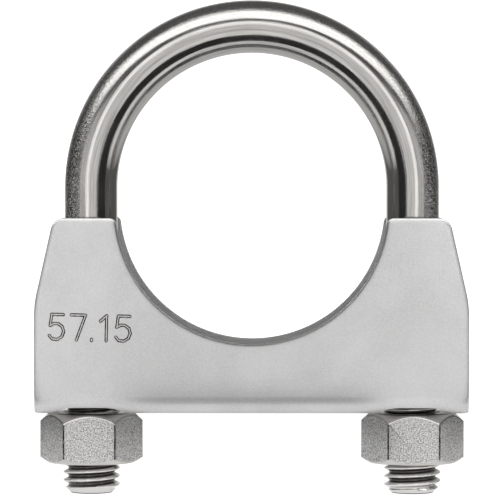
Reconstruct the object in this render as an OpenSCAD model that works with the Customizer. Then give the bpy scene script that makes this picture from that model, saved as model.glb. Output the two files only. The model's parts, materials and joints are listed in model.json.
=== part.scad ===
/* [Pipe] */
// Outside diameter of the pipe that the clamp closes on
pipe_d = 57.15; // [50.8:0.05:63.5]
// Room left on the diameter so that the clamp drops over the pipe
pipe_room = 0.15; // [0.1:0.05:0.4]

/* [U-bolt] */
// Diameter of the bent bar, and the major diameter of its threads
bar_d = 11.2; // [10.8:0.1:11.6]
// Major diameter of the metric thread on both legs
thread_d = 12; // [12:0.1:12.2]
// Length of thread on each leg, from the tip
thread_length = 35; // [30:1:38]
// Height of the arch's centre above the cradle's centre as stored
arch_rise = 4.2; // [3.5:0.1:6]
// Depth of the leg tips below the cradle's centre
tip_drop = 60.9; // [60:0.1:66]
// Chamfer on each leg's tip
tip_chamfer = 1.6; // [0.6:0.1:2]

/* [Saddle] */
// Width of the saddle across the ears, at its base
saddle_w = 91.4; // [90:0.2:96]
// Depth of the saddle along the pipe
saddle_depth = 24.5; // [23:0.5:28]
// Drop of the saddle's base below the cradle's centre
saddle_drop = 43.4; // [42:0.2:46]
// Drop of the ear tops below the cradle's centre
ear_drop = 2.15; // [1.5:0.05:4]
// Thickness of the pressed sheet
sheet_t = 3; // [2:0.25:3.5]
// Outside radius of the bends along the base
bend_r = 3.9; // [3.5:0.1:5]
// Lean of the ears' outer edges from upright, in degrees
ear_lean = 12.7; // [8:0.1:14]
// Drop of the height at which the outer edges begin to lean in
lean_drop = 23; // [20:0.5:26]
// Radius of the blend from the upright sides to the leaning ones
lean_blend_r = 24; // [10:1:30]
// Radius on the ears' outer corners
ear_corner_r = 2.8; // [1:0.1:4]
// Radius on the ears' inner corners, beside the pipe
ear_lip_r = 1.4; // [0.8:0.1:2]
// Diameter of the leg holes in the base
leg_hole_d = 13.2; // [12.8:0.1:14]
// Diameter of the round seat coined into the base under each nut
seat_d = 24.8; // [24:0.2:27]
// Depth of the coined seat
seat_depth = 1.3; // [0.4:0.1:1.6]

/* [Nuts] */
// Width across flats of the hexagon nuts
nut_flats = 19; // [18:0.5:20]
// Height of the nuts
nut_height = 10.7; // [10:0.1:11]
// Gap between a nut's top face and its coined seat as stored
nut_gap = 1.6; // [0.5:0.1:2]
// Diameter of the flat bearing face inside the top chamfer
nut_top_face_d = 18; // [16:0.5:18.5]
// Angle of the chamfer on the nuts' top edge, in degrees
nut_top_angle = 45; // [30:1:48]
// Angle of the chamfer on the nuts' bottom edge, in degrees
nut_bottom_angle = 30; // [20:1:45]
// How far the nuts' six corners are turned back from sharp
nut_corner_trim = 0.1; // [0.05:0.05:0.3]
// Running clearance on the radius between the thread and the nut
thread_clear = 0.05; // [0.02:0.01:0.1]

/* [Hidden] */
$fn = 96;

cradle_r = (pipe_d + pipe_room) / 2;
bar_r = bar_d / 2;
thread_r = thread_d / 2;
leg_x = cradle_r + bar_r;
thread_top = thread_length - tip_drop;
half_w = saddle_w / 2;
half_depth = saddle_depth / 2;
seat_z = seat_depth - saddle_drop;
nut_top_z = seat_z - nut_gap;
nut_corner_r = nut_flats / sqrt(3);
nut_bottom_face_d = nut_flats - 0.6;
// The cutting solids run this far past the faces they cut
past = 1;
// Round corners stand this far proud of the edges they blend, so that the two cross cleanly
cross_over = 0.004;

// The right-hand outer edge: upright, then a wide blend, then leaning in to the rounded corner
blend_centre = [half_w - lean_blend_r, -lean_drop];
blend_end = blend_centre + lean_blend_r * [cos(ear_lean), sin(ear_lean)];
blend_steps = 6;
ear_top_x = blend_end[0] - (-ear_drop - blend_end[1]) * tan(ear_lean);
ear_corner_x = ear_top_x - ear_corner_r * tan(45 - ear_lean / 2);

// The round lip beside the pipe touches the cradle circle, the ear's top and the ear's inner edge
lip_z = -ear_drop - ear_lip_r;
lip_x = sqrt(pow(cradle_r + ear_lip_r, 2) - pow(lip_z, 2));

// Half of the saddle as the pipe sees it, before the cradle is cut
module saddle_half_outline() {
    blend = [for (i = [0:blend_steps])
        let (a = ear_lean * i / blend_steps)
        blend_centre + lean_blend_r * [cos(a), sin(a)]];
    difference() {
        polygon(concat(
            [[0, -saddle_drop], [half_w, -saddle_drop]],
            blend,
            [[ear_top_x, -ear_drop], [0, -ear_drop]]));
        ear_corner_cut();
    }
}

// What the round outer corner takes off the sharp one
module ear_corner_cut() {
    centre = [ear_corner_x, -ear_drop - ear_corner_r];
    tangent = centre + ear_corner_r * [cos(ear_lean), sin(ear_lean)];
    difference() {
        polygon([
            centre,
            tangent,
            tangent + past * [cos(ear_lean), sin(ear_lean)],
            [ear_top_x + past, past - ear_drop],
            [ear_corner_x, past - ear_drop]]);
        translate(centre) circle(r = ear_corner_r + cross_over);
    }
}

// Everything inside the cradle, with the two lips left round
module cradle_cut() {
    circle(r = cradle_r);
    difference() {
        polygon([
            [0, 0],
            [-lip_x, lip_z],
            [-lip_x, past],
            [lip_x, past],
            [lip_x, lip_z]]);
        for (side = [-1, 1])
            translate([side * lip_x, lip_z])
                circle(r = ear_lip_r + cross_over);
    }
}

module saddle_outline() {
    difference() {
        union() {
            saddle_half_outline();
            mirror([1, 0]) saddle_half_outline();
        }
        cradle_cut();
    }
}

// A U with round bends, set in from the sheet's outside
module channel_section(inset, r) {
    w = half_depth - inset;
    base = inset - saddle_drop;
    translate([-w, base + r]) square([2 * w, saddle_drop + past]);
    translate([r - w, base]) square([2 * (w - r), r + past]);
    for (side = [-1, 1])
        translate([side * (w - r), base + r]) circle(r = r);
}

// Lays a drawing in the XZ plane and gives it a thickness along Y
module along_pipe(length) {
    rotate([90, 0, 0])
        linear_extrude(height = length, center = true) children();
}

// Lays a drawing in the YZ plane and gives it a thickness along X
module across_pipe(length) {
    rotate([90, 0, 90])
        linear_extrude(height = length, center = true) children();
}

module at_leg(side) {
    translate([side * leg_x, 0, 0]) children();
}

// The bent bar: an arch, two plain legs, and the thread's outside as a plain cylinder
module u_bolt() {
    color("silver") {
        translate([0, 0, arch_rise])
            rotate([90, 0, 0])
                rotate_extrude(angle = 180)
                    translate([leg_x, 0]) circle(r = bar_r);
        for (side = [-1, 1])
            at_leg(side) {
                translate([0, 0, thread_top])
                    cylinder(r = bar_r, h = arch_rise - thread_top);
                translate([0, 0, tip_chamfer - tip_drop])
                    cylinder(r = thread_r, h = thread_length - tip_chamfer);
                translate([0, 0, -tip_drop])
                    cylinder(r1 = thread_r - tip_chamfer, r2 = thread_r, h = tip_chamfer);
            }
    }
}

// The pressed channel: two walls cut to the pipe, with holes and coined seats in the base
module saddle() {
    color("gainsboro")
        difference() {
            intersection() {
                along_pipe(saddle_depth) saddle_outline();
                across_pipe(saddle_w) channel_section(0, bend_r);
            }
            across_pipe(saddle_w + 2 * past)
                channel_section(sheet_t, bend_r - sheet_t);
            for (side = [-1, 1])
                at_leg(side) {
                    translate([0, 0, -saddle_drop - past])
                        cylinder(d = leg_hole_d, h = sheet_t + 2 * past);
                    translate([0, 0, -saddle_drop - past])
                        cylinder(d = seat_d, h = seat_depth + past);
                }
        }
}

// A disc with a sloping edge above and below, whose hexagon cut leaves arcs on the flats
module nut_blank() {
    blank_r = nut_corner_r - nut_corner_trim;
    top_drop = (blank_r - nut_top_face_d / 2) * tan(nut_top_angle);
    bottom_rise = (blank_r - nut_bottom_face_d / 2) * tan(nut_bottom_angle);
    translate([0, 0, nut_top_z])
        rotate_extrude()
            polygon([
                [0, 0],
                [nut_top_face_d / 2, 0],
                [blank_r, -top_drop],
                [blank_r, bottom_rise - nut_height],
                [nut_bottom_face_d / 2, -nut_height],
                [0, -nut_height]]);
}

module hexagon_nut() {
    difference() {
        intersection() {
            nut_blank();
            translate([0, 0, nut_top_z - nut_height - past])
                cylinder(r = nut_corner_r, h = nut_height + 2 * past, $fn = 6);
        }
        translate([0, 0, nut_top_z - nut_height - past])
            cylinder(r = thread_r + thread_clear, h = nut_height + 2 * past);
    }
}

module left_nut() {
    color("lightgray") at_leg(-1) hexagon_nut();
}

module right_nut() {
    color("lightgray") at_leg(1) hexagon_nut();
}

u_bolt();
saddle();
left_nut();
right_nut();
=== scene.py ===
"""A round-bar U-bolt clamp: bent and threaded bar, pressed channel saddle, two hexagon nuts."""

import json
import math

import bmesh
import bpy
from mathutils import Matrix, Vector


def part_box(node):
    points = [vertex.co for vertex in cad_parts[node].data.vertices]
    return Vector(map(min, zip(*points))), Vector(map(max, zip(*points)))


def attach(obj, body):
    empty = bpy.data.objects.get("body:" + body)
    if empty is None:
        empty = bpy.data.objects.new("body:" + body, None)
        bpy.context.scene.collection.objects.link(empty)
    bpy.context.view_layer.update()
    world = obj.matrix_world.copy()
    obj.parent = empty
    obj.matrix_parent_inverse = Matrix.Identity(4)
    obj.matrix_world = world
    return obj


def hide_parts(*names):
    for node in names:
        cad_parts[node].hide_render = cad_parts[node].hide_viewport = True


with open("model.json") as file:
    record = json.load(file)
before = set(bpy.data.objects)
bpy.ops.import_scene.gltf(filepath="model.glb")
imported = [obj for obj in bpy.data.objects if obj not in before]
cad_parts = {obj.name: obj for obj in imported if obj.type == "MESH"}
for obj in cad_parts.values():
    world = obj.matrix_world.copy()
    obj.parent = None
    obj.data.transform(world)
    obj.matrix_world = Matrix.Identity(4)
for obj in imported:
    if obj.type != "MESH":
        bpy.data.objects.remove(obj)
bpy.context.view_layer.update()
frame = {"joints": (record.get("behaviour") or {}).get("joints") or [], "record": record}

MM = 0.001
# points closer than a hair are one point; the boolean cuts leave slivers up to a sliver wide
HAIR = 0.001 * MM
SLIVER = 0.002 * MM
X_AXIS, Y_AXIS, Z_AXIS = Vector((1, 0, 0)), Vector((0, 1, 0)), Vector((0, 0, 1))

# ---------------------------------------------------------------- sizes from the frame
BOLT_LOW, BOLT_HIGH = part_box("u_bolt")
SADDLE_LOW, SADDLE_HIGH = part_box("saddle")
NUT_LOW, NUT_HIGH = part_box("right_nut")
JOINTS = {joint["name"]: joint for joint in frame["joints"]}
MOUNTS = {mount["name"]: mount for mount in frame["record"]["mounts"]}

CRADLE_R = MOUNTS["pipe_cradle"]["dims"]["r_mm"] * MM
LEG_X = JOINTS["right_nut_spin"]["pos_m"][0]
BAR_R = LEG_X - CRADLE_R
ARCH_Z = BOLT_HIGH.z - LEG_X - BAR_R
TIP_Z = BOLT_LOW.z
THREAD_R = BOLT_HIGH.y

SADDLE_HALF_W = SADDLE_HIGH.x
SADDLE_HALF_D = SADDLE_HIGH.y
BASE_Z = SADDLE_LOW.z
EAR_Z = SADDLE_HIGH.z

NUT_FLATS = NUT_HIGH.y - NUT_LOW.y
NUT_TOP_Z = NUT_HIGH.z
NUT_BOTTOM_Z = NUT_LOW.z

# ---------------------------------------------------------------- the makers' own sizes
PITCH = 1.75 * MM
THREAD_LENGTH = 35 * MM
RUNOUT = 2.2 * MM
TIP_CHAMFER = 1.6 * MM
SHEET_T = 3 * MM
BEND_R = 3.9 * MM
INNER_BEND_R = 0.9 * MM
EAR_LEAN = math.radians(12.7)
LEAN_Z = -23 * MM
LEAN_BLEND_R = 24 * MM
EAR_CORNER_R = 2.8 * MM
EAR_LIP_R = 1.4 * MM
# sheared edges: how far the outer skin rolls over, as (distance in from the edge, drop)
EDGE_ROLL = [(0.0, 0.32), (0.1, 0.2), (0.35, 0.09), (0.75, 0.02), (1.3, 0.0)]
LEG_HOLE_R = 6.6 * MM
SEAT_R = 12.4 * MM
SEAT_DEPTH = 1.3 * MM
SEAT_SOFT_R = 1 * MM
DENT_HALF_W = 11 * MM
DENT_DEPTH = 0.5 * MM
# each dent is cut into this many strips on either side of its leg
DENT_STRIPS = 8

# the pipe's outside diameter in millimetres, pressed into the front wall
MARK = "57.15"
MARK_LEFT = -42.6 * MM
MARK_FOOT = -27.6 * MM
MARK_HEIGHT = 5.3 * MM
MARK_TILT = math.radians(-1.5)
MARK_TOOL_R = 0.42 * MM
MARK_DEPTH = 0.24 * MM


# ---------------------------------------------------------------- mesh helpers
def new_piece(name, bm, smooth_angle=35):
    """Turns a finished bmesh into an object at the origin, with flat faces kept flat."""
    mesh = bpy.data.meshes.new(name)
    bmesh.ops.recalc_face_normals(bm, faces=bm.faces)
    bm.to_mesh(mesh)
    bm.free()
    mesh.shade_smooth()
    mesh.set_sharp_from_angle(angle=math.radians(smooth_angle))
    piece = bpy.data.objects.new(name, mesh)
    bpy.context.scene.collection.objects.link(piece)
    return piece


def cut(piece, tool_bm):
    """Cuts a tool's shape out of a piece for good, and throws the tool away."""
    bmesh.ops.recalc_face_normals(tool_bm, faces=tool_bm.faces)
    mesh = bpy.data.meshes.new("tool")
    tool_bm.to_mesh(mesh)
    tool_bm.free()
    # the cut is worked out in millimetres, where it's exact enough for small tools
    to_mm = Matrix.Scale(1000, 4)
    mesh.transform(to_mm)
    piece.data.transform(to_mm)
    tool = bpy.data.objects.new("tool", mesh)
    bpy.context.scene.collection.objects.link(tool)
    modifier = piece.modifiers.new("cut", "BOOLEAN")
    modifier.operation = "DIFFERENCE"
    modifier.solver = "EXACT"
    modifier.object = tool
    result = bpy.data.meshes.new_from_object(
        piece.evaluated_get(bpy.context.evaluated_depsgraph_get())
    )
    piece.modifiers.remove(modifier)
    result.transform(to_mm.inverted())
    old = piece.data
    piece.data = result
    result.name = piece.name
    bpy.data.meshes.remove(old)
    bpy.data.objects.remove(tool)
    bpy.data.meshes.remove(mesh)


def moved(bm, x=0.0, y=0.0, z=0.0):
    """Moves a whole bmesh and hands it back."""
    bmesh.ops.translate(bm, vec=(x, y, z), verts=bm.verts)
    return bm


def chain(bm, points, closed=False):
    """Joins points with edges, in order."""
    verts = [bm.verts.new(point) for point in points]
    pairs = list(zip(verts, verts[1:]))
    if closed:
        pairs.append((verts[-1], verts[0]))
    return verts, [bm.edges.new(pair) for pair in pairs]


def lathe(points, steps=96):
    """A closed turned solid: (radius, height) points from the axis out and back to it."""
    bm = bmesh.new()
    verts, edges = chain(bm, [(r, 0, z) for r, z in points])
    bmesh.ops.spin(
        bm,
        geom=verts + edges,
        cent=(0, 0, 0),
        axis=Z_AXIS,
        angle=2 * math.pi,
        steps=steps,
        use_merge=True,
    )
    bmesh.ops.remove_doubles(bm, verts=bm.verts, dist=HAIR)
    return bm


def arc_points(centre_x, centre_z, radius, start, end, steps):
    """Points of an arc in the XZ plane, from one angle to another in degrees."""
    turn = [math.radians(start + (end - start) * i / steps) for i in range(steps + 1)]
    return [
        (centre_x + radius * math.cos(a), centre_z + radius * math.sin(a)) for a in turn
    ]


# ---------------------------------------------------------------- threads
THREAD_TURN_STEPS = 64
# a metric thread's depth is this much of its pitch
THREAD_DEPTH = 0.6134 * PITCH
ROOT_R = THREAD_R - THREAD_DEPTH
# one pitch of rolled thread as (along, rise): rounded root, flank, crest, flank
THREAD_SHAPE = [
    (0.00, 0.00),
    (0.09, 0.03),
    (0.16, 0.14),
    (0.37, 0.88),
    (0.42, 0.97),
    (0.47, 1.00),
    (0.53, 1.00),
    (0.58, 0.97),
    (0.63, 0.88),
    (0.84, 0.14),
    (0.91, 0.03),
    (1.00, 0.00),
]


def helix(low, high, growth=0.0):
    """An open right-hand thread surface round the Z axis, cut flat at both heights."""
    turns = math.ceil((high - low) / PITCH) + 3
    start = low - 2 * PITCH
    # the thread's phase is tied to the leg's tip, so that leg and nut match at every turn
    start = TIP_Z + math.floor((start - TIP_Z) / PITCH) * PITCH
    bm = bmesh.new()
    root = ROOT_R + growth
    verts, edges = chain(
        bm,
        [(root + THREAD_DEPTH * rise, 0, start + PITCH * on) for on, rise in THREAD_SHAPE],
    )
    bmesh.ops.spin(
        bm,
        geom=verts + edges,
        cent=(0, 0, 0),
        axis=Z_AXIS,
        dvec=(0, 0, PITCH / THREAD_TURN_STEPS),
        angle=2 * math.pi * turns,
        steps=THREAD_TURN_STEPS * turns,
        use_merge=False,
    )
    bmesh.ops.remove_doubles(bm, verts=bm.verts, dist=HAIR)
    for height, clear_up in ((low, False), (high, True)):
        bmesh.ops.bisect_plane(
            bm,
            geom=bm.verts[:] + bm.edges[:] + bm.faces[:],
            plane_co=(0, 0, height),
            plane_no=Z_AXIS,
            clear_outer=clear_up,
            clear_inner=not clear_up,
        )
    return bm


def rim_edges(bm, z):
    """The open edges that lie at one height."""
    return [
        e
        for e in bm.edges
        if e.is_boundary and all(abs(v.co.z - z) < HAIR for v in e.verts)
    ]


def threaded_leg():
    """A closed leg end round the Z axis, up to where the thread runs out into the bar."""
    top = TIP_Z + THREAD_LENGTH
    bm = helix(TIP_Z, top)
    for v in bm.verts:
        r = math.hypot(v.co.x, v.co.y)
        fade = min(max((v.co.z - (top - RUNOUT)) / RUNOUT, 0), 1)
        fade = fade * fade * (3 - 2 * fade)
        wanted = r + (BAR_R - r) * fade
        tip_limit = THREAD_R - TIP_CHAMFER + (v.co.z - TIP_Z)
        wanted = min(wanted, tip_limit)
        v.co.x *= wanted / r
        v.co.y *= wanted / r
    bmesh.ops.holes_fill(bm, edges=rim_edges(bm, TIP_Z), sides=0)
    return bm


def run_on(bm, rim, offset):
    """Carries an open rim along a straight line and returns the new rim."""
    grown = bmesh.ops.extrude_edge_only(bm, edges=rim)["geom"]
    verts = [g for g in grown if isinstance(g, bmesh.types.BMVert)]
    bmesh.ops.translate(bm, vec=offset, verts=verts)
    return [g for g in grown if isinstance(g, bmesh.types.BMEdge) and g.is_boundary]


def make_u_bolt():
    """The bar: right leg, arch, left leg, and a rolled thread on both legs."""
    thread_top = TIP_Z + THREAD_LENGTH
    bm = threaded_leg()
    for edge in rim_edges(bm, thread_top):
        for v in edge.verts:
            v.co.xy = v.co.xy.normalized() * BAR_R
    leg_mesh = bpy.data.meshes.new("leg")
    bm.to_mesh(leg_mesh)

    moved(bm, x=LEG_X)
    rim = run_on(bm, rim_edges(bm, thread_top), (0, 0, ARCH_Z - thread_top))
    spun = bmesh.ops.spin(
        bm,
        geom=rim,
        cent=(0, 0, ARCH_Z),
        axis=-Y_AXIS,
        angle=math.pi,
        steps=128,
        use_merge=False,
    )["geom_last"]
    rim = [g for g in spun if isinstance(g, bmesh.types.BMEdge)]
    gap = 0.6 * MM
    rim = run_on(bm, rim, (0, 0, thread_top + gap - ARCH_Z))

    leg_mesh.transform(
        Matrix.Translation((-LEG_X, 0, 0)) @ Matrix.Rotation(math.pi, 4, "Z")
    )
    bm.from_mesh(leg_mesh)
    bpy.data.meshes.remove(leg_mesh)
    other = [e for e in rim_edges(bm, thread_top) if e.verts[0].co.x < 0]
    bmesh.ops.bridge_loops(bm, edges=rim + other)
    piece = new_piece("bent_bar", bm)
    bar_coordinates(piece.data)
    return piece


def bar_coordinates(mesh):
    """A UV map in metres: along the bar, then round it, for grain that follows the bend."""
    layer = mesh.uv_layers.new(name="along_bar")
    for loop in mesh.loops:
        co = mesh.vertices[loop.vertex_index].co
        if co.z >= ARCH_Z:
            turn = math.atan2(co.z - ARCH_Z, co.x)
            along = turn * LEG_X
            across = math.hypot(co.x, co.z - ARCH_Z) - LEG_X
        else:
            side = 1 if co.x > 0 else -1
            along = co.z - ARCH_Z if side > 0 else math.pi * LEG_X + ARCH_Z - co.z
            across = side * co.x - LEG_X
        round_bar = math.atan2(across, -co.y) * BAR_R
        layer.data[loop.index].uv = (along, round_bar)


# ---------------------------------------------------------------- saddle
def saddle_outline():
    """The saddle seen along the pipe, anticlockwise from the base's right end."""
    lean = math.degrees(EAR_LEAN)
    blend_x = SADDLE_HALF_W - LEAN_BLEND_R
    lean_x = blend_x + LEAN_BLEND_R * math.cos(EAR_LEAN)
    lean_z = LEAN_Z + LEAN_BLEND_R * math.sin(EAR_LEAN)
    ear_top_x = lean_x - (EAR_Z - lean_z) * math.tan(EAR_LEAN)
    corner_x = ear_top_x - EAR_CORNER_R * math.tan(math.pi / 4 - EAR_LEAN / 2)
    lip_z = EAR_Z - EAR_LIP_R
    lip_x = math.sqrt((CRADLE_R + EAR_LIP_R) ** 2 - lip_z**2)
    lip_turn = math.degrees(math.atan2(-lip_z, lip_x))
    right = [(SADDLE_HALF_W, BASE_Z)]
    right += arc_points(blend_x, LEAN_Z, LEAN_BLEND_R, 0, lean, 8)
    right += arc_points(corner_x, EAR_Z - EAR_CORNER_R, EAR_CORNER_R, lean, 90, 10)
    right += arc_points(lip_x, lip_z, EAR_LIP_R, 90, 180 - lip_turn, 8)
    right += arc_points(0, 0, CRADLE_R, -lip_turn, -90, 60)[1:]
    left = [(-x, z) for x, z in reversed(right[:-1])]
    return right + left


def sharp_edges(bm, degrees):
    return [e for e in bm.edges if e.calc_face_angle(0) > math.radians(degrees)]


def round_edges(bm, edges, radius, segments):
    bmesh.ops.bevel(
        bm,
        geom=edges,
        affect="EDGES",
        offset=radius,
        offset_type="OFFSET",
        segments=segments,
        profile=0.5,
        material=-1,
        clamp_overlap=True,
    )


def skin_outwards(co):
    """Which way the channel's outer skin faces at a point: front, back, bend or base."""
    flat_y = SADDLE_HALF_D - BEND_R
    over_y = math.copysign(max(abs(co.y) - flat_y, 0), co.y)
    over_z = min(co.z - (BASE_Z + BEND_R), 0)
    if over_y == 0:
        return -Z_AXIS
    return Vector((0, over_y, over_z)).normalized()


def saddle_block():
    """The channel's outside, solid: bends along the base, and edges rolled over by shearing."""
    bm = bmesh.new()
    verts, edges = chain(
        bm, [(x, -SADDLE_HALF_D, z) for x, z in saddle_outline()], closed=True
    )
    front = bmesh.ops.contextual_create(bm, geom=edges)["faces"]
    grown = bmesh.ops.extrude_face_region(bm, geom=front)["geom"]
    back = [g for g in grown if isinstance(g, bmesh.types.BMVert)]
    bmesh.ops.translate(bm, vec=(0, 2 * SADDLE_HALF_D, 0), verts=back)
    bmesh.ops.recalc_face_normals(bm, faces=bm.faces)
    round_edges(bm, base_edges(bm, BASE_Z), BEND_R, 12)

    bm.normal_update()
    skin = [f for f in bm.faces if abs(f.normal.y) > 0.01 or f.normal.z < -0.99]
    rims = []
    for (near, _), (far, _) in zip(EDGE_ROLL, EDGE_ROLL[1:]):
        ring = bmesh.ops.inset_region(
            bm,
            faces=skin,
            thickness=(far - near) * MM,
            use_even_offset=True,
            use_boundary=True,
        )["faces"]
        inner = {v for f in skin for v in f.verts}
        rims.append({v for f in ring for v in f.verts} - inner)
    for rim, (_, drop) in zip(rims, EDGE_ROLL):
        for v in rim:
            v.co -= skin_outwards(v.co) * drop * MM
    dent_base(bm)
    return bm


def base_edges(bm, z):
    """The long edges at the foot of the two walls."""
    return [
        e
        for e in bm.edges
        if all(abs(v.co.z - z) < HAIR for v in e.verts)
        and abs(e.verts[0].co.x - e.verts[1].co.x) > SADDLE_HALF_W
    ]


def dent_base(bm):
    """Coining the seats draws the bends beside them in a little."""
    bend_top = BASE_Z + BEND_R + 0.01 * MM
    for side in (-1, 1):
        for step in range(-DENT_STRIPS, DENT_STRIPS + 1):
            low = [f for f in bm.faces if all(v.co.z < bend_top for v in f.verts)]
            edges = list({e for f in low for e in f.edges})
            bmesh.ops.bisect_plane(
                bm,
                geom=edges + low,
                plane_co=(side * LEG_X + step * DENT_HALF_W / DENT_STRIPS, 0, 0),
                plane_no=X_AXIS,
            )
    for v in bm.verts:
        off = (abs(v.co.x) - LEG_X) / DENT_HALF_W
        low = (BASE_Z + BEND_R - v.co.z) / BEND_R
        if abs(off) < 1 and low > 0:
            inwards = DENT_DEPTH * (1 - off**2) ** 2 * min(low, 1) ** 2
            v.co.y -= math.copysign(min(inwards, abs(v.co.y)), v.co.y)


def channel_tool():
    """The space between the walls, with small inside bends along its floor."""
    bm = bmesh.new()
    bmesh.ops.create_cube(bm, size=1)
    height = 60 * MM
    size = (2 * SADDLE_HALF_W + 10 * MM, 2 * (SADDLE_HALF_D - SHEET_T), height)
    bmesh.ops.scale(bm, vec=size, verts=bm.verts)
    moved(bm, z=BASE_Z + SHEET_T + height / 2)
    round_edges(bm, base_edges(bm, BASE_Z + SHEET_T), INNER_BEND_R, 5)
    return bm


def seat_tool():
    """A round coining punch with a soft corner, with the leg's hole above it."""
    below = BASE_Z - 5 * MM
    above = BASE_Z + 8 * MM
    top = BASE_Z + SEAT_DEPTH
    soft = SEAT_SOFT_R
    points = [(0, below), (SEAT_R, below)]
    points += [(SEAT_R - soft + r, z) for r, z in arc_points(0, top - soft, soft, 0, 90, 4)]
    points += [(LEG_HOLE_R, top), (LEG_HOLE_R, above), (0, above)]
    return lathe(points)


# each figure's stroke on a grid one figure high, and the step to the next figure
FIGURES = {
    "1": ([(0.06, 0.78), (0.3, 1), (0.3, 0)], 0.66),
    "5": (
        [
            (0.56, 1),
            (0.1, 1),
            (0.05, 0.56),
            (0.2, 0.64),
            (0.36, 0.64),
            (0.53, 0.52),
            (0.59, 0.33),
            (0.52, 0.13),
            (0.34, 0.01),
            (0.14, 0.03),
            (0.02, 0.16),
        ],
        0.86,
    ),
    "7": ([(0.02, 1), (0.58, 1), (0.24, 0)], 0.8),
    ".": ([(0.04, 0), (0.04, 0.05)], 0.32),
}


def stroke_tool(start, end, radius):
    """A punch for one straight stroke: a ball pulled out lengthways."""
    bm = bmesh.new()
    bmesh.ops.create_uvsphere(bm, u_segments=14, v_segments=9, radius=radius)
    upper = [v for v in bm.verts if v.co.z > 0]
    stroke = end - start
    bmesh.ops.translate(bm, vec=(0, 0, stroke.length), verts=upper)
    turn = stroke.to_track_quat("Z", "Y").to_matrix()
    bmesh.ops.rotate(bm, cent=(0, 0, 0), matrix=turn, verts=bm.verts)
    return moved(bm, *start)


def soften_edges(piece, radius):
    """Takes the sharpness off a cut piece's edges, and cleans up after the cutting."""
    bm = bmesh.new()
    bm.from_mesh(piece.data)
    bmesh.ops.remove_doubles(bm, verts=bm.verts, dist=SLIVER)
    bmesh.ops.dissolve_degenerate(bm, edges=bm.edges, dist=SLIVER)
    round_edges(bm, sharp_edges(bm, 45), radius, 1)
    bm.to_mesh(piece.data)
    bm.free()


def press_mark(piece):
    """Presses the mark's figures into the front wall, stroke by stroke."""
    turn = Matrix.Rotation(-MARK_TILT, 3, "Y")
    foot = Vector((MARK_LEFT, MARK_DEPTH - MARK_TOOL_R - SADDLE_HALF_D, MARK_FOOT))
    along = 0
    for figure in MARK:
        stroke, step = FIGURES[figure]
        places = [
            foot + turn @ Vector(((along + x) * MARK_HEIGHT, 0, z * MARK_HEIGHT))
            for x, z in stroke
        ]
        for count, (start, end) in enumerate(zip(places, places[1:])):
            # every other stroke is a little finer, so that no two balls share a surface
            radius = MARK_TOOL_R * (1 - 0.06 * (count % 2))
            cut(piece, stroke_tool(start, end, radius))
        along += step


def make_saddle():
    piece = new_piece("pressed_saddle", saddle_block())
    cut(piece, channel_tool())
    for side in (-1, 1):
        cut(piece, moved(seat_tool(), x=side * LEG_X))
    soften_edges(piece, 0.1 * MM)
    press_mark(piece)
    piece.data.shade_smooth()
    piece.data.set_sharp_from_angle(angle=math.radians(35))
    keep_flats_flat(piece)
    return piece


def keep_flats_flat(piece):
    """Lets each big flat face decide the shading of the small rounds beside it."""
    modifier = piece.modifiers.new("flat_faces", "WEIGHTED_NORMAL")
    modifier.keep_sharp = True


# ---------------------------------------------------------------- nuts
NUT_TOP_FACE_R = 9 * MM
NUT_BOTTOM_FACE_R = 9.2 * MM
NUT_TOP_ANGLE = math.radians(45)
NUT_BOTTOM_ANGLE = math.radians(30)
NUT_EDGE_R = 0.3 * MM
# the nut's thread stands off the leg's, and a countersink opens it at both faces
TAP_GROWTH = 0.08 * MM
COUNTERSINK = 0.35 * MM
PAST = 1 * MM


def nut_blank():
    """A turned disc with both edges chamfered, cut to a hexagon with a flat to the front."""
    # a little wider than the hexagon's corners, so that the corners come out clean
    blank_r = NUT_FLATS / math.sqrt(3) + 0.5 * MM
    top_drop = (blank_r - NUT_TOP_FACE_R) * math.tan(NUT_TOP_ANGLE)
    bottom_rise = (blank_r - NUT_BOTTOM_FACE_R) * math.tan(NUT_BOTTOM_ANGLE)
    bm = lathe(
        [
            (0, NUT_BOTTOM_Z),
            (NUT_BOTTOM_FACE_R, NUT_BOTTOM_Z),
            (blank_r, NUT_BOTTOM_Z + bottom_rise),
            (blank_r, NUT_TOP_Z - top_drop),
            (NUT_TOP_FACE_R, NUT_TOP_Z),
            (0, NUT_TOP_Z),
        ],
        steps=192,
    )
    for side in range(6):
        turn = math.radians(60 * side + 30)
        outwards = Vector((math.cos(turn), math.sin(turn), 0))
        cut_geom = bmesh.ops.bisect_plane(
            bm,
            geom=bm.verts[:] + bm.edges[:] + bm.faces[:],
            plane_co=outwards * NUT_FLATS / 2,
            plane_no=outwards,
            clear_outer=True,
        )["geom_cut"]
        edges = [g for g in cut_geom if isinstance(g, bmesh.types.BMEdge)]
        bmesh.ops.holes_fill(bm, edges=edges, sides=0)
    bmesh.ops.recalc_face_normals(bm, faces=bm.faces)
    return bm


def countersink(face_z, inwards):
    """A cone that opens the thread at one face of a nut."""
    mouth = THREAD_R + COUNTERSINK
    points = [
        (0, face_z - inwards * PAST),
        (mouth + PAST, face_z - inwards * PAST),
        (0, face_z + inwards * mouth),
    ]
    return lathe(points)


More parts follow.
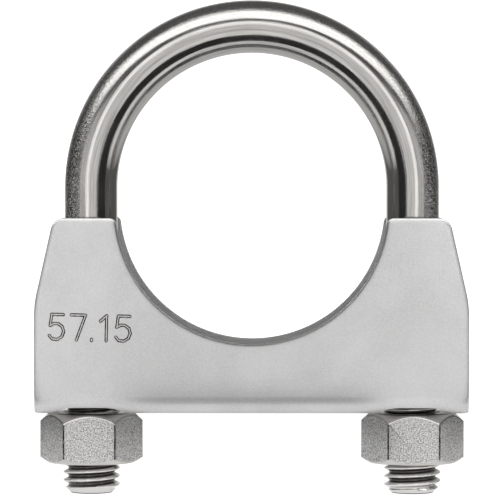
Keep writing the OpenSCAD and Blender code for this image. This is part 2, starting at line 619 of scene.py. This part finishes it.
def make_nut(name):
    bm = nut_blank()
    # the bottom chamfer is too narrow to be rounded on both of its edges
    edges = [
        e
        for e in sharp_edges(bm, 24)
        if max(v.co.z for v in e.verts) > NUT_BOTTOM_Z + 0.01 * MM
    ]
    round_edges(bm, edges, NUT_EDGE_R, 3)
    bmesh.ops.remove_doubles(bm, verts=bm.verts, dist=SLIVER)
    bmesh.ops.dissolve_degenerate(bm, edges=bm.edges, dist=SLIVER)
    piece = new_piece(name, bm)
    tap = helix(NUT_BOTTOM_Z - PAST, NUT_TOP_Z + PAST, growth=TAP_GROWTH)
    for z in (NUT_BOTTOM_Z - PAST, NUT_TOP_Z + PAST):
        bmesh.ops.holes_fill(tap, edges=rim_edges(tap, z), sides=0)
    cut(piece, tap)
    cut(piece, countersink(NUT_BOTTOM_Z, 1))
    cut(piece, countersink(NUT_TOP_Z, -1))
    piece.data.transform(Matrix.Translation((LEG_X, 0, 0)))
    piece.data.shade_smooth()
    piece.data.set_sharp_from_angle(angle=math.radians(25))
    return piece


bent_bar = make_u_bolt()
pressed_saddle = make_saddle()
right_hex = make_nut("right_hex_nut")
left_hex = bpy.data.objects.new("left_hex_nut", right_hex.data.copy())
left_hex.data.name = "left_hex_nut"
left_hex.data.transform(Matrix.Rotation(math.pi, 4, "Z"))
bpy.context.scene.collection.objects.link(left_hex)

for piece, body, node, slot in (
    (bent_bar, "u_bolt", "u_bolt", "drawn_bar"),
    (pressed_saddle, "saddle", "saddle", "pressed_sheet"),
    (left_hex, "left_nut", "left_nut", "nut_steel"),
    (right_hex, "right_nut", "right_nut", "nut_steel"),
):
    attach(piece, body)
    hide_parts(node)


# ---------------------------------------------------------------- materials
def linear(hex_colour):
    """An sRGB hex colour as linear RGBA."""
    parts = [int(hex_colour[i : i + 2], 16) / 255 for i in (1, 3, 5)]
    return (
        *[p / 12.92 if p <= 0.04045 else ((p + 0.055) / 1.055) ** 2.4 for p in parts],
        1.0,
    )


def add(tree, kind, settings, links):
    """Adds a node with its settings and its links. Inputs go by name or by number."""
    node = tree.nodes.new(kind)
    for name, value in settings.items():
        if isinstance(name, str) and hasattr(node, name):
            setattr(node, name, value)
        else:
            node.inputs[name].default_value = value
    for name, source in links.items():
        tree.links.new(source, node.inputs[name])
    return node.outputs


# a colour mix's inputs and output, by number, as it has several of each name
FACTOR, FIRST, SECOND, MIXED = 0, 6, 7, 2


def metal(name):
    """A bare metal material, with its tree and its shader's inputs."""
    material = bpy.data.materials.new(name)
    material.use_nodes = True
    shader = material.node_tree.nodes["Principled BSDF"]
    shader.inputs["Metallic"].default_value = 1.0
    return material, material.node_tree, shader.inputs


def grain(size):
    """The scale that makes a noise's grain the given size in millimetres."""
    return 1 / (size * MM)


def smooth(low, high, to_low, to_high):
    """Settings for a soft step from one value to another."""
    return {
        "interpolation_type": "SMOOTHSTEP",
        "From Min": low,
        "From Max": high,
        "To Min": to_low,
        "To Max": to_high,
    }


def drawn_bar():
    """Stainless bar, drawn, bent and tumbled: bright, with fine draw lines along it. The skin
    stretched round the outside of the bend is rougher, like orange peel, and the rolled
    threads are duller, with painted shade in the grooves and painted highlights on the crests."""
    material, tree, shader = metal("stainless_bar_drawn")
    along_bar = add(tree, "ShaderNodeUVMap", {"uv_map": "along_bar"}, {})["UV"]
    place = add(tree, "ShaderNodeTexCoord", {}, {})["Object"]
    height = add(tree, "ShaderNodeSeparateXYZ", {}, {0: place})["Z"]
    round_bar = add(tree, "ShaderNodeSeparateXYZ", {}, {0: along_bar})["Y"]
    # draw lines: 9 mm long, and 0.3 mm wide so that they show
    stretched = add(
        tree,
        "ShaderNodeMapping",
        {"Scale": (grain(9), grain(0.3), 1)},
        {"Vector": along_bar},
    )["Vector"]
    lines = add(
        tree,
        "ShaderNodeTexNoise",
        {"Scale": 1.0, "Detail": 3.0, "Roughness": 0.6},
        {"Vector": stretched},
    )["Fac"]
    peel = add(
        tree,
        "ShaderNodeTexNoise",
        {"Scale": grain(0.32), "Detail": 2.0, "Roughness": 0.7},
        {"Vector": place},
    )["Fac"]
    clouds = add(
        tree, "ShaderNodeTexNoise", {"Scale": grain(7), "Detail": 2.0}, {"Vector": place}
    )["Fac"]
    stretched_skin = add(
        tree,
        "ShaderNodeMapRange",
        smooth(1.2 * MM, 4.5 * MM, 0.0, 1.0),
        {"Value": round_bar},
    )["Result"]
    # the skin is roughest where the legs meet the bend, and smoother over the top
    coarseness = add(
        tree,
        "ShaderNodeMapRange",
        smooth(ARCH_Z - 5 * MM, ARCH_Z + 38 * MM, 1.0, 0.25),
        {"Value": height},
    )["Result"]
    pitted_skin = add(
        tree,
        "ShaderNodeMath",
        {"operation": "MULTIPLY"},
        {0: stretched_skin, 1: coarseness},
    )["Value"]
    thread_top = TIP_Z + THREAD_LENGTH
    thread = add(
        tree,
        "ShaderNodeMapRange",
        smooth(thread_top - RUNOUT, thread_top, 1.0, 0.0),
        {"Value": height},
    )["Result"]
    spot = add(tree, "ShaderNodeVectorMath", {"operation": "ABSOLUTE"}, {0: place})["Vector"]
    off_leg = add(
        tree,
        "ShaderNodeVectorMath",
        {"operation": "MULTIPLY_ADD", 1: (1, 1, 0), 2: (-LEG_X, 0, 0)},
        {0: spot},
    )["Vector"]
    thread_r = add(tree, "ShaderNodeVectorMath", {"operation": "LENGTH"}, {0: off_leg})["Value"]
    crest = add(
        tree,
        "ShaderNodeMapRange",
        smooth(ROOT_R + 0.1 * MM, THREAD_R - 0.1 * MM, 0.0, 1.0),
        {"Value": thread_r},
    )["Result"]
    tip = add(
        tree,
        "ShaderNodeMapRange",
        smooth(TIP_Z + 1.2 * MM, TIP_Z + 2.2 * MM, 0.9, 0.0),
        {"Value": height},
    )["Result"]
    # painted light on the thread: a painted highlight on the crests and at the tip, painted
    # shade lower in the grooves
    painted_thread_light = add(
        tree, "ShaderNodeMath", {"operation": "MAXIMUM"}, {0: crest, 1: tip}
    )["Value"]

    # the bright skin, then the threads: painted shade in the grooves, painted highlight on the
    # crests and the tip
    drawn_skin = add(
        tree,
        "ShaderNodeMix",
        {"data_type": "RGBA", FIRST: linear("#ACAAA7"), SECOND: linear("#BDBBB8")},
        {FACTOR: add(tree, "ShaderNodeMapRange", smooth(0.35, 0.65, 0, 1), {0: lines})[0]},
    )[MIXED]
    pitting = add(
        tree,
        "ShaderNodeMix",
        {"data_type": "RGBA", FIRST: linear("#4A4846"), SECOND: linear("#CFCDCA")},
        {FACTOR: add(tree, "ShaderNodeMapRange", smooth(0.42, 0.6, 0, 1), {0: peel})[0]},
    )[MIXED]
    drawn_skin = add(
        tree,
        "ShaderNodeMix",
        {"data_type": "RGBA"},
        {FACTOR: pitted_skin, FIRST: drawn_skin, SECOND: pitting},
    )[MIXED]
    # painted shade in the thread's grooves, painted highlight on its crests
    painted_thread_skin = add(
        tree,
        "ShaderNodeMix",
        {"data_type": "RGBA", FIRST: linear("#565452"), SECOND: linear("#DAD8D6")},
        {FACTOR: painted_thread_light},
    )[MIXED]
    skin = add(
        tree,
        "ShaderNodeMix",
        {"data_type": "RGBA"},
        {FACTOR: thread, FIRST: drawn_skin, SECOND: painted_thread_skin},
    )[MIXED]
    tree.links.new(skin, shader["Base Color"])

    spread = add(
        tree, "ShaderNodeMapRange", smooth(0.3, 0.7, 0.09, 0.16), {"Value": clouds}
    )["Result"]
    for duller in (stretched_skin, thread):
        spread = add(
            tree,
            "ShaderNodeMath",
            {"operation": "MULTIPLY_ADD", 1: 0.06},
            {0: duller, 2: spread},
        )["Value"]
    tree.links.new(spread, shader["Roughness"])

    peaks = add(
        tree, "ShaderNodeMath", {"operation": "MULTIPLY"}, {0: peel, 1: pitted_skin}
    )["Value"]
    relief = add(
        tree,
        "ShaderNodeMath",
        {"operation": "MULTIPLY_ADD", 1: 0.07},
        {0: lines, 2: peaks},
    )["Value"]
    bump = add(
        tree, "ShaderNodeBump", {"Strength": 1.0, "Distance": 0.14 * MM}, {"Height": relief}
    )["Normal"]
    tree.links.new(bump, shader["Normal"])
    return material


def pressed_sheet():
    """Stainless sheet with a cold-rolled satin skin, pressed in a die: soft even sheen, faint
    rolling lines along its length, and cloudy rub marks from the die."""
    material, tree, shader = metal("stainless_sheet_pressed")
    place = add(tree, "ShaderNodeTexCoord", {}, {})["Object"]
    # rolling lines: 12 mm long, and 0.35 mm wide so that they show
    stretched = add(
        tree,
        "ShaderNodeMapping",
        {"Scale": (grain(12), grain(0.5), grain(0.35))},
        {"Vector": place},
    )["Vector"]
    lines = add(
        tree,
        "ShaderNodeTexNoise",
        {"Scale": 1.0, "Detail": 3.0, "Roughness": 0.6},
        {"Vector": stretched},
    )["Fac"]
    clouds = add(
        tree,
        "ShaderNodeTexNoise",
        {"Scale": grain(16), "Detail": 4.0, "Roughness": 0.55, "Distortion": 0.4},
        {"Vector": place},
    )["Fac"]
    satin = add(
        tree,
        "ShaderNodeTexNoise",
        {"Scale": grain(0.42), "Detail": 2.0, "Roughness": 0.7},
        {"Vector": place},
    )["Fac"]
    rubbed = add(tree, "ShaderNodeMapRange", smooth(0.32, 0.68, 0, 1), {"Value": clouds})[0]
    skin = add(
        tree,
        "ShaderNodeMix",
        {"data_type": "RGBA", FIRST: linear("#BAB9B9"), SECOND: linear("#C4C3C3")},
        {FACTOR: rubbed},
    )[MIXED]
    speckle = add(tree, "ShaderNodeMapRange", smooth(0.3, 0.7, 0, 0.3), {"Value": satin})[0]
    skin = add(
        tree,
        "ShaderNodeMix",
        {"data_type": "RGBA", SECOND: linear("#DCDBDB")},
        {FACTOR: speckle, FIRST: skin},
    )[MIXED]
    tree.links.new(skin, shader["Base Color"])
    spread = add(
        tree, "ShaderNodeMapRange", smooth(0.3, 0.7, 0.40, 0.33), {"Value": clouds}
    )["Result"]
    tree.links.new(spread, shader["Roughness"])
    relief = add(
        tree,
        "ShaderNodeMath",
        {"operation": "MULTIPLY_ADD", 1: 0.7},
        {0: lines, 2: satin},
    )["Value"]
    bump = add(
        tree, "ShaderNodeBump", {"Strength": 1.0, "Distance": 0.03 * MM}, {"Height": relief}
    )["Normal"]
    tree.links.new(bump, shader["Normal"])
    return material


def forged_nut():
    """A cold-forged nut's flats: pale, matt and finely pitted by the forging die."""
    material, tree, shader = metal("stainless_nut_forged")
    place = add(tree, "ShaderNodeTexCoord", {}, {})["Object"]
    pits = add(
        tree,
        "ShaderNodeTexNoise",
        {"Scale": grain(0.28), "Detail": 3.0, "Roughness": 0.75},
        {"Vector": place},
    )["Fac"]
    clouds = add(
        tree, "ShaderNodeTexNoise", {"Scale": grain(5), "Detail": 2.0}, {"Vector": place}
    )["Fac"]
    pitted = add(tree, "ShaderNodeMapRange", smooth(0.4, 0.58, 0, 1), {"Value": pits})[0]
    skin = add(
        tree,
        "ShaderNodeMix",
        {"data_type": "RGBA", FIRST: linear("#7C7B7A"), SECOND: linear("#D6D5D4")},
        {FACTOR: pitted},
    )[MIXED]
    tree.links.new(skin, shader["Base Color"])
    spread = add(
        tree, "ShaderNodeMapRange", smooth(0.3, 0.7, 0.42, 0.34), {"Value": clouds}
    )["Result"]
    tree.links.new(spread, shader["Roughness"])
    bump = add(
        tree, "ShaderNodeBump", {"Strength": 0.6, "Distance": 0.03 * MM}, {"Height": pits}
    )["Normal"]
    tree.links.new(bump, shader["Normal"])
    return material


def turned_nut():
    """A nut's turned chamfers and bearing face: brighter and smoother, with fine tool rings."""
    material, tree, shader = metal("stainless_nut_turned")
    place = add(tree, "ShaderNodeTexCoord", {}, {})["Object"]
    # tool rings 0.25 mm apart in height, so that they show on both chamfers
    stretched = add(
        tree,
        "ShaderNodeMapping",
        {"Scale": (grain(6), grain(6), grain(0.25))},
        {"Vector": place},
    )["Vector"]
    rings = add(
        tree, "ShaderNodeTexNoise", {"Scale": 1.0, "Detail": 2.0}, {"Vector": stretched}
    )["Fac"]
    ridges = add(tree, "ShaderNodeMapRange", smooth(0.3, 0.7, 0, 1), {"Value": rings})[0]
    skin = add(
        tree,
        "ShaderNodeMix",
        {"data_type": "RGBA", FIRST: linear("#B3B1AE"), SECOND: linear("#C4C2BF")},
        {FACTOR: ridges},
    )[MIXED]
    tree.links.new(skin, shader["Base Color"])
    spread = add(
        tree, "ShaderNodeMapRange", smooth(0.3, 0.7, 0.16, 0.26), {"Value": rings}
    )["Result"]
    tree.links.new(spread, shader["Roughness"])
    bump = add(
        tree, "ShaderNodeBump", {"Strength": 0.3, "Distance": 0.01 * MM}, {"Height": rings}
    )["Normal"]
    tree.links.new(bump, shader["Normal"])
    return material


def painted_edge_shade_steel():
    """Painted shade on the nuts' rounded corners and the walls of the mark's strokes: dark
    steel, in broken lines."""
    material, tree, shader = metal("stainless_painted_edge_shade")
    place = add(tree, "ShaderNodeTexCoord", {}, {})["Object"]
    breaks = add(
        tree,
        "ShaderNodeTexNoise",
        {"Scale": grain(0.9), "Detail": 3.0, "Roughness": 0.6},
        {"Vector": place},
    )["Fac"]
    broken = add(tree, "ShaderNodeMapRange", smooth(0.4, 0.62, 0, 1), {"Value": breaks})[0]
    # dark steel colour: painted shade, in broken lines
    skin = add(
        tree,
        "ShaderNodeMix",
        {"data_type": "RGBA", FIRST: linear("#2C2B2A"), SECOND: linear("#6E6C6A")},
        {FACTOR: broken},
    )[MIXED]
    tree.links.new(skin, shader["Base Color"])
    spread = add(
        tree, "ShaderNodeMapRange", smooth(0.3, 0.7, 0.18, 0.3), {"Value": breaks}
    )["Result"]
    tree.links.new(spread, shader["Roughness"])
    return material


def nut_surface(face, centre_x):
    """Which of a nut's surfaces a face belongs to: 0 forged, 1 turned, 2 rounded edge."""
    off_axis = math.hypot(face.center.x - centre_x, face.center.y)
    if abs(face.normal.z) > 0.05 or off_axis < NUT_FLATS / 2 - 1 * MM:
        return 1
    turn = math.degrees(math.atan2(face.normal.y, face.normal.x))
    off_flat = abs(turn % 60 - 30)
    # the rounded corners take the painted edge shade
    return 0 if off_flat < 3 else 2


def sheared_sheet():
    """The sheet's sheared edges: torn across by the punch, so duller and streaky; their darker
    colour is painted shade.
    """
    material, tree, shader = metal("stainless_sheet_sheared")
    place = add(tree, "ShaderNodeTexCoord", {}, {})["Object"]
    # tears run through the sheet's thickness, 0.3 mm apart so that they show
    stretched = add(
        tree,
        "ShaderNodeMapping",
        {"Scale": (grain(0.3), grain(2.5), grain(0.3))},
        {"Vector": place},
    )["Vector"]
    tears = add(
        tree,
        "ShaderNodeTexNoise",
        {"Scale": 1.0, "Detail": 3.0, "Roughness": 0.6},
        {"Vector": stretched},
    )["Fac"]
    torn = add(tree, "ShaderNodeMapRange", smooth(0.35, 0.65, 0, 1), {"Value": tears})[0]
    # the darker colours here are painted shade along the sheared edges
    skin = add(
        tree,
        "ShaderNodeMix",
        {"data_type": "RGBA", FIRST: linear("#5E5D5C"), SECOND: linear("#9A9998")},
        {FACTOR: torn},
    )[MIXED]
    tree.links.new(skin, shader["Base Color"])
    spread = add(
        tree, "ShaderNodeMapRange", smooth(0.3, 0.7, 0.5, 0.35), {"Value": tears}
    )["Result"]
    tree.links.new(spread, shader["Roughness"])
    bump = add(
        tree, "ShaderNodeBump", {"Strength": 0.5, "Distance": 0.04 * MM}, {"Height": tears}
    )["Normal"]
    tree.links.new(bump, shader["Normal"])
    return material


def saddle_surface(face):
    """Which of the saddle's surfaces a face belongs to: 0 skin, 1 a stroke's wall, 2 sheared."""
    place, depth = face.center, face.center.y + SADDLE_HALF_D
    across = MARK_LEFT - 1 * MM < place.x < MARK_LEFT + 4 * MARK_HEIGHT
    upright = MARK_FOOT - 1 * MM < place.z < MARK_FOOT + MARK_HEIGHT + 2 * MM
    if across and upright and SLIVER < depth < 0.4 * MM:
        # a stroke's walls take the painted edge shade
        return 1 if face.normal.y > -0.93 else 0
    above_floor = place.z > BASE_Z + SHEET_T + 1 * MM
    at_an_end = abs(place.x) > SADDLE_HALF_W - 0.3 * MM
    # the sheared edges take the colour painted darker as shade
    return 2 if abs(face.normal.y) < 0.3 and (above_floor or at_an_end) else 0


bent_bar.data.materials.append(drawn_bar())
# painted shade for the nuts' rounded corners and the walls of the mark's strokes
painted_edge_shade = painted_edge_shade_steel()
pressed_saddle.data.materials.append(pressed_sheet())
pressed_saddle.data.materials.append(painted_edge_shade)
pressed_saddle.data.materials.append(sheared_sheet())
for face in pressed_saddle.data.polygons:
    face.material_index = saddle_surface(face)
nut_metals = (forged_nut(), turned_nut(), painted_edge_shade)
for nut, centre_x in ((left_hex, -LEG_X), (right_hex, LEG_X)):
    for nut_metal in nut_metals:
        nut.data.materials.append(nut_metal)
    for face in nut.data.polygons:
        face.material_index = nut_surface(face, centre_x)


# ---------------------------------------------------------------- camera, floor and light
def look(obj, place, target):
    """Puts a camera or a light at a place and aims it."""
    obj.location = place
    obj.rotation_euler = (Vector(target) - Vector(place)).to_track_quat("-Z", "Y").to_euler()


camera = bpy.data.objects.new("camera", bpy.data.cameras.new("camera"))
bpy.context.scene.collection.objects.link(camera)
bpy.context.scene.camera = camera
camera.data.sensor_width = 36
camera.data.lens = 248.2
look(camera, (0.006, -0.735, 0.013), (-0.0004, 0, -0.00905))

ARCH_MIDDLE = (0, 0, ARCH_Z)
FLOOR_R = 0.45
# the small flags stand just in front of the object
FLAG_Y = -27 * MM
LOW_FLAG_Z = -50.5 * MM
LOW_FLAG_H = 20 * MM
HOOP_Y = -0.15
HOOP_INNER_R, HOOP_OUTER_R = 0.058, 0.094
# the hoop ends this many degrees below level on both sides
HOOP_DROP = 20
# the world's brightness in the metal and in the camera's view
WORLD_IN_METAL, WORLD_IN_VIEW = 0.15, 1.3


def softbox(name, place, target, width, height, brightness, shape="RECTANGLE"):
    """A light of an even brightness over its face, which the camera doesn't see."""
    light = bpy.data.lights.new(name, "AREA")
    light.shape = shape
    light.size = width
    light.size_y = height
    area = width * height * (math.pi / 4 if shape == "ELLIPSE" else 1)
    light.energy = brightness * math.pi * area
    lamp = bpy.data.objects.new(name, light)
    bpy.context.scene.collection.objects.link(lamp)
    look(lamp, place, target)
    lamp.visible_camera = False


def studio_card(name, bm, colour, glow=0.0, in_view=False):
    """A studio board, not part of the object, which out of view shows only in the metal."""
    board = new_piece(name, bm)
    board.visible_camera = in_view
    material = bpy.data.materials.new(name + "_board")
    material.use_nodes = True
    shader = material.node_tree.nodes["Principled BSDF"]
    shader.inputs["Base Color"].default_value = linear(colour)
    shader.inputs["Roughness"].default_value = 0.9
    shader.inputs["Specular IOR Level"].default_value = 0.0
    shader.inputs["Emission Color"].default_value = (1, 1, 1, 1)
    shader.inputs["Emission Strength"].default_value = glow
    board.data.materials.append(material)
    return board


def rectangle(width, depth):
    """A flat rectangle facing up."""
    bm = bmesh.new()
    bmesh.ops.create_grid(bm, x_segments=1, y_segments=1, size=0.5)
    bmesh.ops.scale(bm, vec=(width, depth, 1), verts=bm.verts)
    return bm


def facing_front(bm):
    """Turns a flat shape from facing up to facing the camera."""
    bmesh.ops.rotate(
        bm, cent=(0, 0, 0), matrix=Matrix.Rotation(math.pi / 2, 3, "X"), verts=bm.verts
    )
    return bm


def disc(radius, segments=96):
    """A flat disc facing up."""
    bm = bmesh.new()
    bmesh.ops.create_circle(bm, cap_ends=True, segments=segments, radius=radius)
    return bm


def floor_sheen():
    """What the metal sees of the floor: bright in front, falling off behind and far away."""
    sheen = studio_card("floor_sheen", moved(disc(FLOOR_R), z=TIP_Z + 0.2 * MM), "#8C8C8C")
    sheen.visible_diffuse = False
    sheen.visible_shadow = False
    tree = sheen.data.materials[0].node_tree
    place = add(tree, "ShaderNodeTexCoord", {}, {})["Object"]
    behind = add(tree, "ShaderNodeSeparateXYZ", {}, {0: place})["Y"]
    far = add(tree, "ShaderNodeVectorMath", {"operation": "LENGTH"}, {0: place})["Value"]
    front_glow = add(
        tree, "ShaderNodeMapRange", smooth(-0.03, 0.06, 0.95, 0.55), {"Value": behind}
    )["Result"]
    near_share = add(
        tree, "ShaderNodeMapRange", smooth(0.2, 0.44, 1, 0.3), {"Value": far}
    )["Result"]
    glow = add(
        tree, "ShaderNodeMath", {"operation": "MULTIPLY"}, {0: front_glow, 1: near_share}
    )["Value"]
    tree.links.new(glow, tree.nodes["Principled BSDF"].inputs["Emission Strength"])


def hoop_board():
    """A bright hoop round the arch, which draws the line along the front of the bend."""
    bm = bmesh.new()
    verts, edges = chain(bm, [(HOOP_INNER_R, 0, 0), (HOOP_OUTER_R, 0, 0)])
    below_level = Matrix.Rotation(math.radians(HOOP_DROP), 3, "Y")
    bmesh.ops.rotate(bm, cent=(0, 0, 0), matrix=below_level, verts=verts)
    bmesh.ops.spin(
        bm,
        geom=verts + edges,
        cent=(0, 0, 0),
        axis=-Y_AXIS,
        angle=math.radians(180 + 2 * HOOP_DROP),
        steps=48,
        use_merge=False,
    )
    return moved(bm, y=HOOP_Y, z=ARCH_Z)


floor = studio_card("floor", moved(disc(FLOOR_R), z=TIP_Z), "#8C8C8C", glow=0.95, in_view=True)
floor.visible_glossy = False
floor_sheen()
for name, width, x in (
    ("low_flag_middle", 52 * MM, 0),
    ("low_flag_left", 34 * MM, -64 * MM),
    ("low_flag_right", 34 * MM, 64 * MM),
):
    low_flag = facing_front(rectangle(width, LOW_FLAG_H))
    studio_card(name, moved(low_flag, x=x, y=FLAG_Y, z=LOW_FLAG_Z), "#707070", glow=0.42)
studio_card("flag", moved(facing_front(disc(20 * MM, 48)), y=FLAG_Y), "#060606", glow=0.04)
studio_card("hoop", hoop_board(), "#F2F2F2", glow=1.3)

softbox("front_disc", (0, -0.9, 0.015), ARCH_MIDDLE, 0.84, 0.84, 0.85, "ELLIPSE")
for side, name in ((-1, "left_panel"), (1, "right_panel")):
    softbox(name, (side * 0.40, -0.48, 0.06), (side * 0.034, 0, 0), 0.28, 0.26, 0.66)
# the overhead box looks straight down, but for a hair that fixes which way round it lies
softbox("overhead_box", (0, -0.48, 0.6), (0, -0.4801, 0), 2.6, 0.66, 2.2)
softbox("back_panel", (0, 0.6, 0.15), (0, 0, 0.05), 0.8, 0.5, 0.6)

world = bpy.data.worlds.new("studio")
bpy.context.scene.world = world
world.use_nodes = True
tree = world.node_tree
background = tree.nodes["Background"]
camera_ray = add(tree, "ShaderNodeLightPath", {}, {})["Is Camera Ray"]
shade = add(
    tree,
    "ShaderNodeMapRange",
    {"To Min": WORLD_IN_METAL, "To Max": WORLD_IN_VIEW},
    {"Value": camera_ray},
)["Result"]
tree.links.new(shade, background.inputs["Strength"])
background.inputs["Color"].default_value = (1, 1, 1, 1)

bpy.context.scene.view_settings.view_transform = "Standard"
